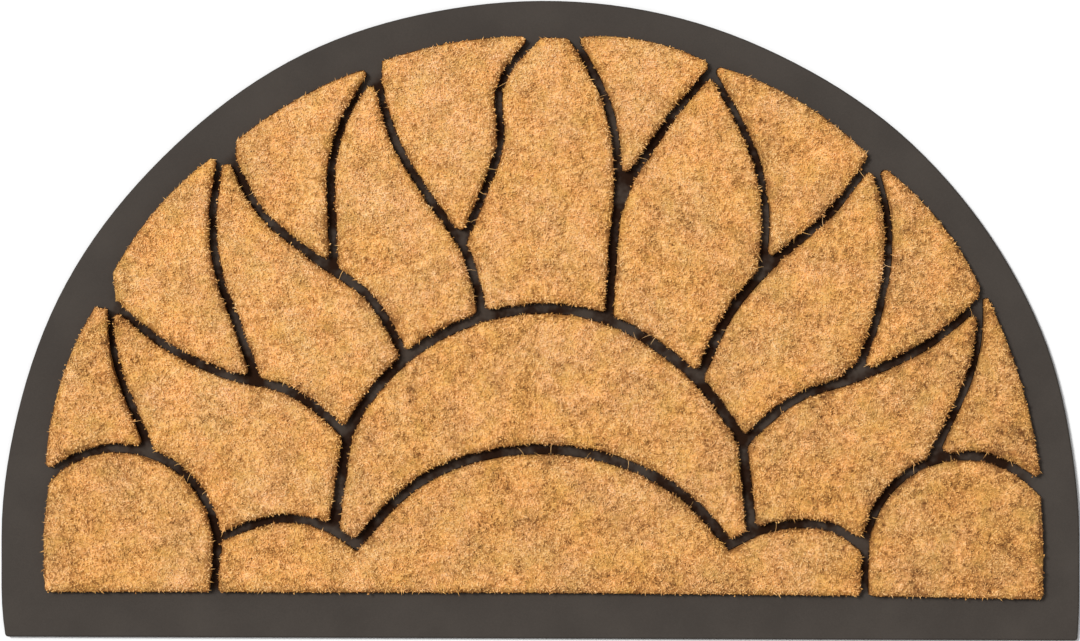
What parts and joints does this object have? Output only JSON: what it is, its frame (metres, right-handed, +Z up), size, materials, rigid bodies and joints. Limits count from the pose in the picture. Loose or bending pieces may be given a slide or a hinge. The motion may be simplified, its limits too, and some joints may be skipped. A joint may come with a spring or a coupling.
{
  "type": "coir doormat",
  "caption": "Half-round flat doormat: a moulded rubber base with a smooth border, and raised coir pads set out as half a sunflower with open channels between them.",
  "frame": {"origin": "middle of the bounding box's underside, where the mat lies on the floor", "axes": "+X along the straight front edge to its right end, +Y from the straight front edge to the round back edge, +Z up out of the coir"},
  "size_m": [0.76, 0.4511, 0.014],
  "materials": {
    "moulded_rubber": "matt moulded rubber",
    "coir_pile": "short dense coir fibre"
  },
  "bodies": {
    "root": {"rubber_base": "moulded_rubber", "pad_corner_left": "coir_pile", "pad_side_left": "coir_pile", "pad_petal_1": "coir_pile", "pad_infill_1": "coir_pile", "pad_petal_2": "coir_pile", "pad_infill_2": "coir_pile", "pad_petal_3": "coir_pile", "pad_infill_3": "coir_pile", "pad_petal_4": "coir_pile", "pad_infill_4": "coir_pile", "pad_petal_5": "coir_pile", "pad_infill_5": "coir_pile", "pad_petal_6": "coir_pile", "pad_infill_6": "coir_pile", "pad_petal_7": "coir_pile", "pad_side_right": "coir_pile", "pad_corner_right": "coir_pile", "pad_disc": "coir_pile", "pad_front": "coir_pile"}
  },
  "joints": []
}
